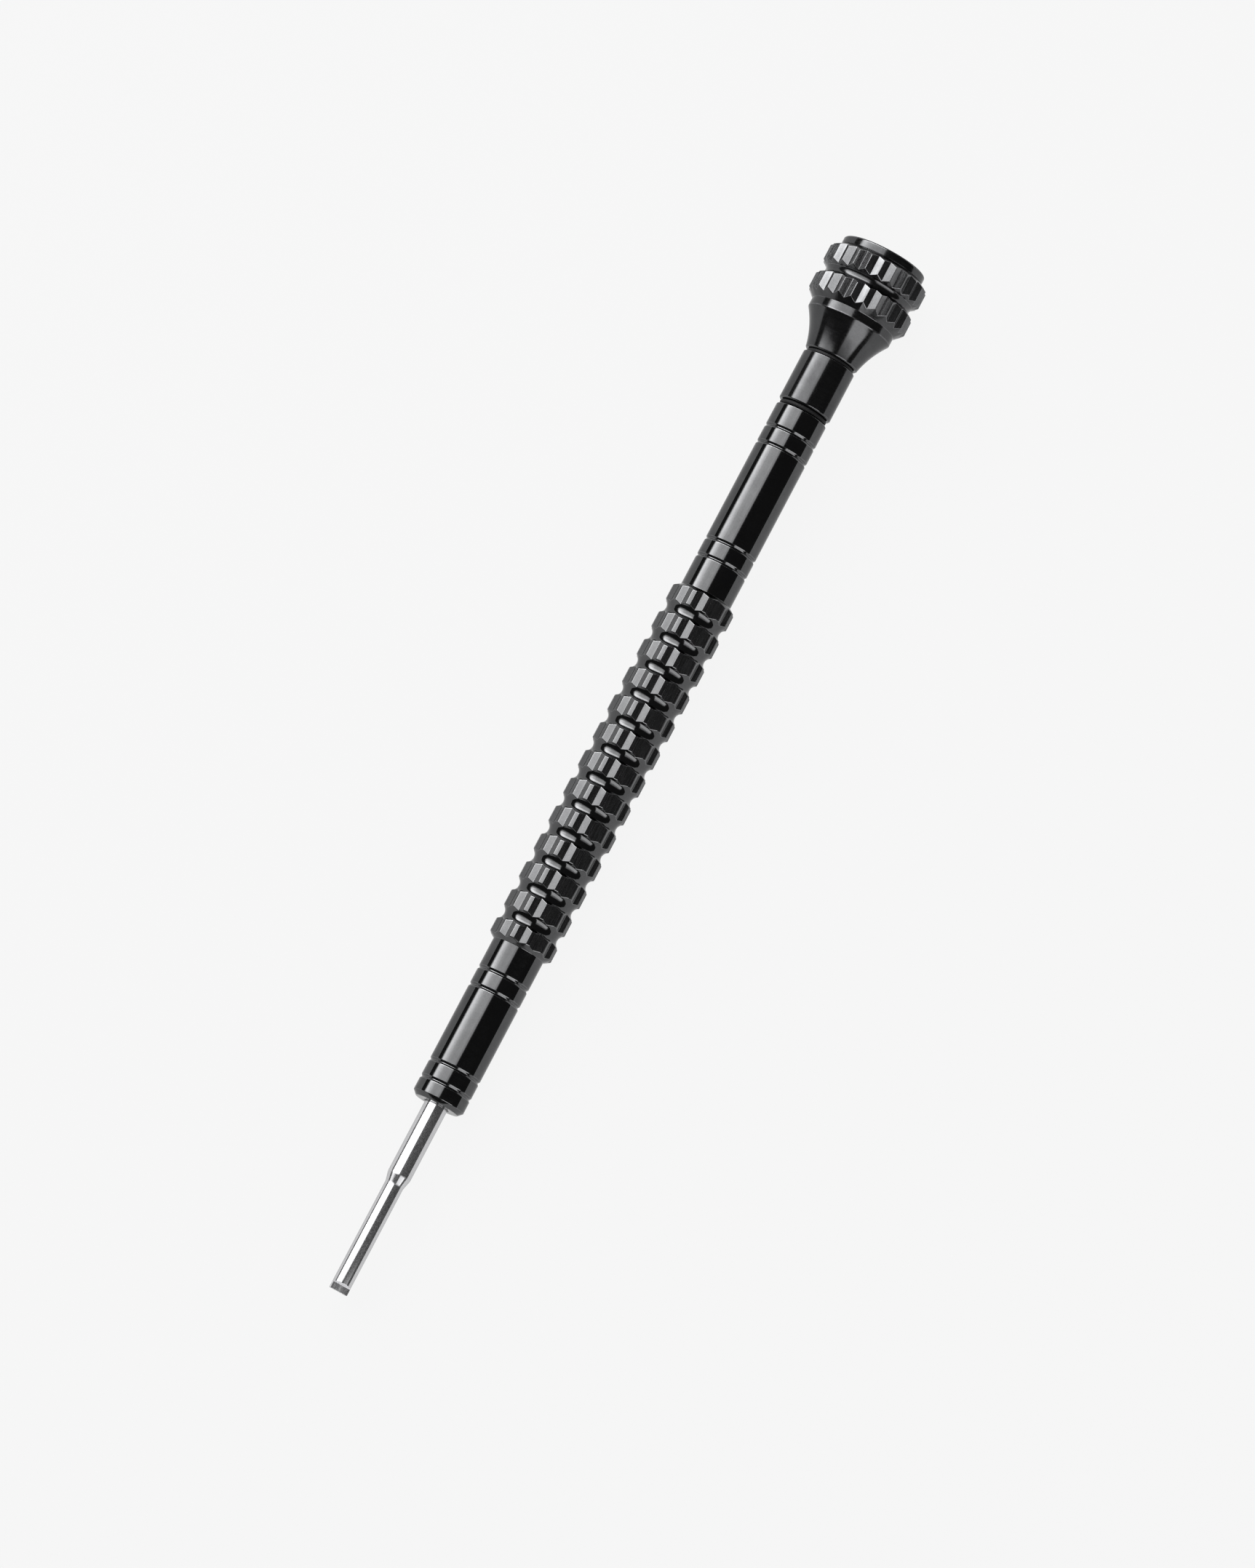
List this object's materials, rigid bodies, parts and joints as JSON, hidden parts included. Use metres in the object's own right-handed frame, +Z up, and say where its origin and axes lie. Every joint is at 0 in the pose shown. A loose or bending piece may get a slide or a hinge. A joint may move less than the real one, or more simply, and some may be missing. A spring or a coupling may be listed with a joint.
{
  "type": "watchmaker screwdriver",
  "caption": "Slim flat-blade watchmaker's screwdriver with a coin-edged grip, a clamped blade, and a flared finger-rest head that spins on a ball bearing.",
  "frame": {"origin": "on the bench under the middle of the tool as it lies at rest on its front grip ring and its head", "axes": "+X from the blade's tip towards the head, +Z up from the bench; the tool's own axis leans up from +X towards +Z by 1.55 degrees, because the head is thicker than the grip"},
  "size_m": [0.0958, 0.0088, 0.0088],
  "materials": {
    "black_plate": "polished black chrome plate over turned steel",
    "blade_steel": "ground and polished hardened steel",
    "screw_steel": "turned steel",
    "bearing_steel": "polished bearing steel",
    "seal_rubber": "matte moulded rubber",
    "black_nylon": "matte nylon",
    "sleeve_brass": "turned brass"
  },
  "bodies": {
    "barrel": {"barrel": "black_plate"},
    "blade": {"blade": "blade_steel"},
    "set_screw": {"blade_set_screw": "screw_steel"},
    "spare": {"spare_blade": "blade_steel"},
    "head_unit": {"collar": "black_plate", "o_ring": "seal_rubber", "head_stud": "screw_steel", "thrust_washer": "black_nylon", "bearing_sleeve": "sleeve_brass", "bearing_inner_ring": "bearing_steel", "retaining_washer": "screw_steel", "retaining_screw": "screw_steel"},
    "cage": {"bearing_cage": "sleeve_brass", "bearing_ball_1": "bearing_steel", "bearing_ball_2": "bearing_steel", "bearing_ball_3": "bearing_steel", "bearing_ball_4": "bearing_steel", "bearing_ball_5": "bearing_steel", "bearing_ball_6": "bearing_steel", "bearing_ball_7": "bearing_steel"},
    "head": {"head_shell": "black_plate", "head_cap": "black_plate", "bearing_outer_ring": "bearing_steel", "bearing_shield_front": "bearing_steel", "bearing_shield_rear": "bearing_steel"}
  },
  "joints": [
    {"name": "blade_draw", "type": "slide", "parent": "barrel", "child": "blade", "axis": [-0.9996, 0, -0.027], "range_m": [0, 0.0192]},
    {"name": "set_screw_back_out", "type": "slide", "parent": "barrel", "child": "set_screw", "axis": [0.0155, 0.8192, -0.5734], "range_m": [0, 0.0008]},
    {"name": "spare_blade_play", "type": "slide", "parent": "barrel", "child": "spare", "axis": [0.9996, 0, 0.027], "range_m": [0, 0.0006]},
    {"name": "head_unit_draw", "type": "slide", "parent": "barrel", "child": "head_unit", "axis": [0.9996, 0, 0.027], "range_m": [0, 0.012]},
    {"name": "head_spin", "type": "hinge", "parent": "head_unit", "child": "head", "pos_m": [0.04352, 0, 0.00437], "axis": [0.9996, 0, 0.027], "continuous": true},
    {"name": "cage_spin", "type": "hinge", "parent": "head_unit", "child": "cage", "pos_m": [0.04352, 0, 0.00437], "axis": [0.9996, 0, 0.027], "continuous": true}
  ],
  "couplings": [
    {"joint": "cage_spin", "follows": "head_spin", "ratio": 0.6143}
  ]
}
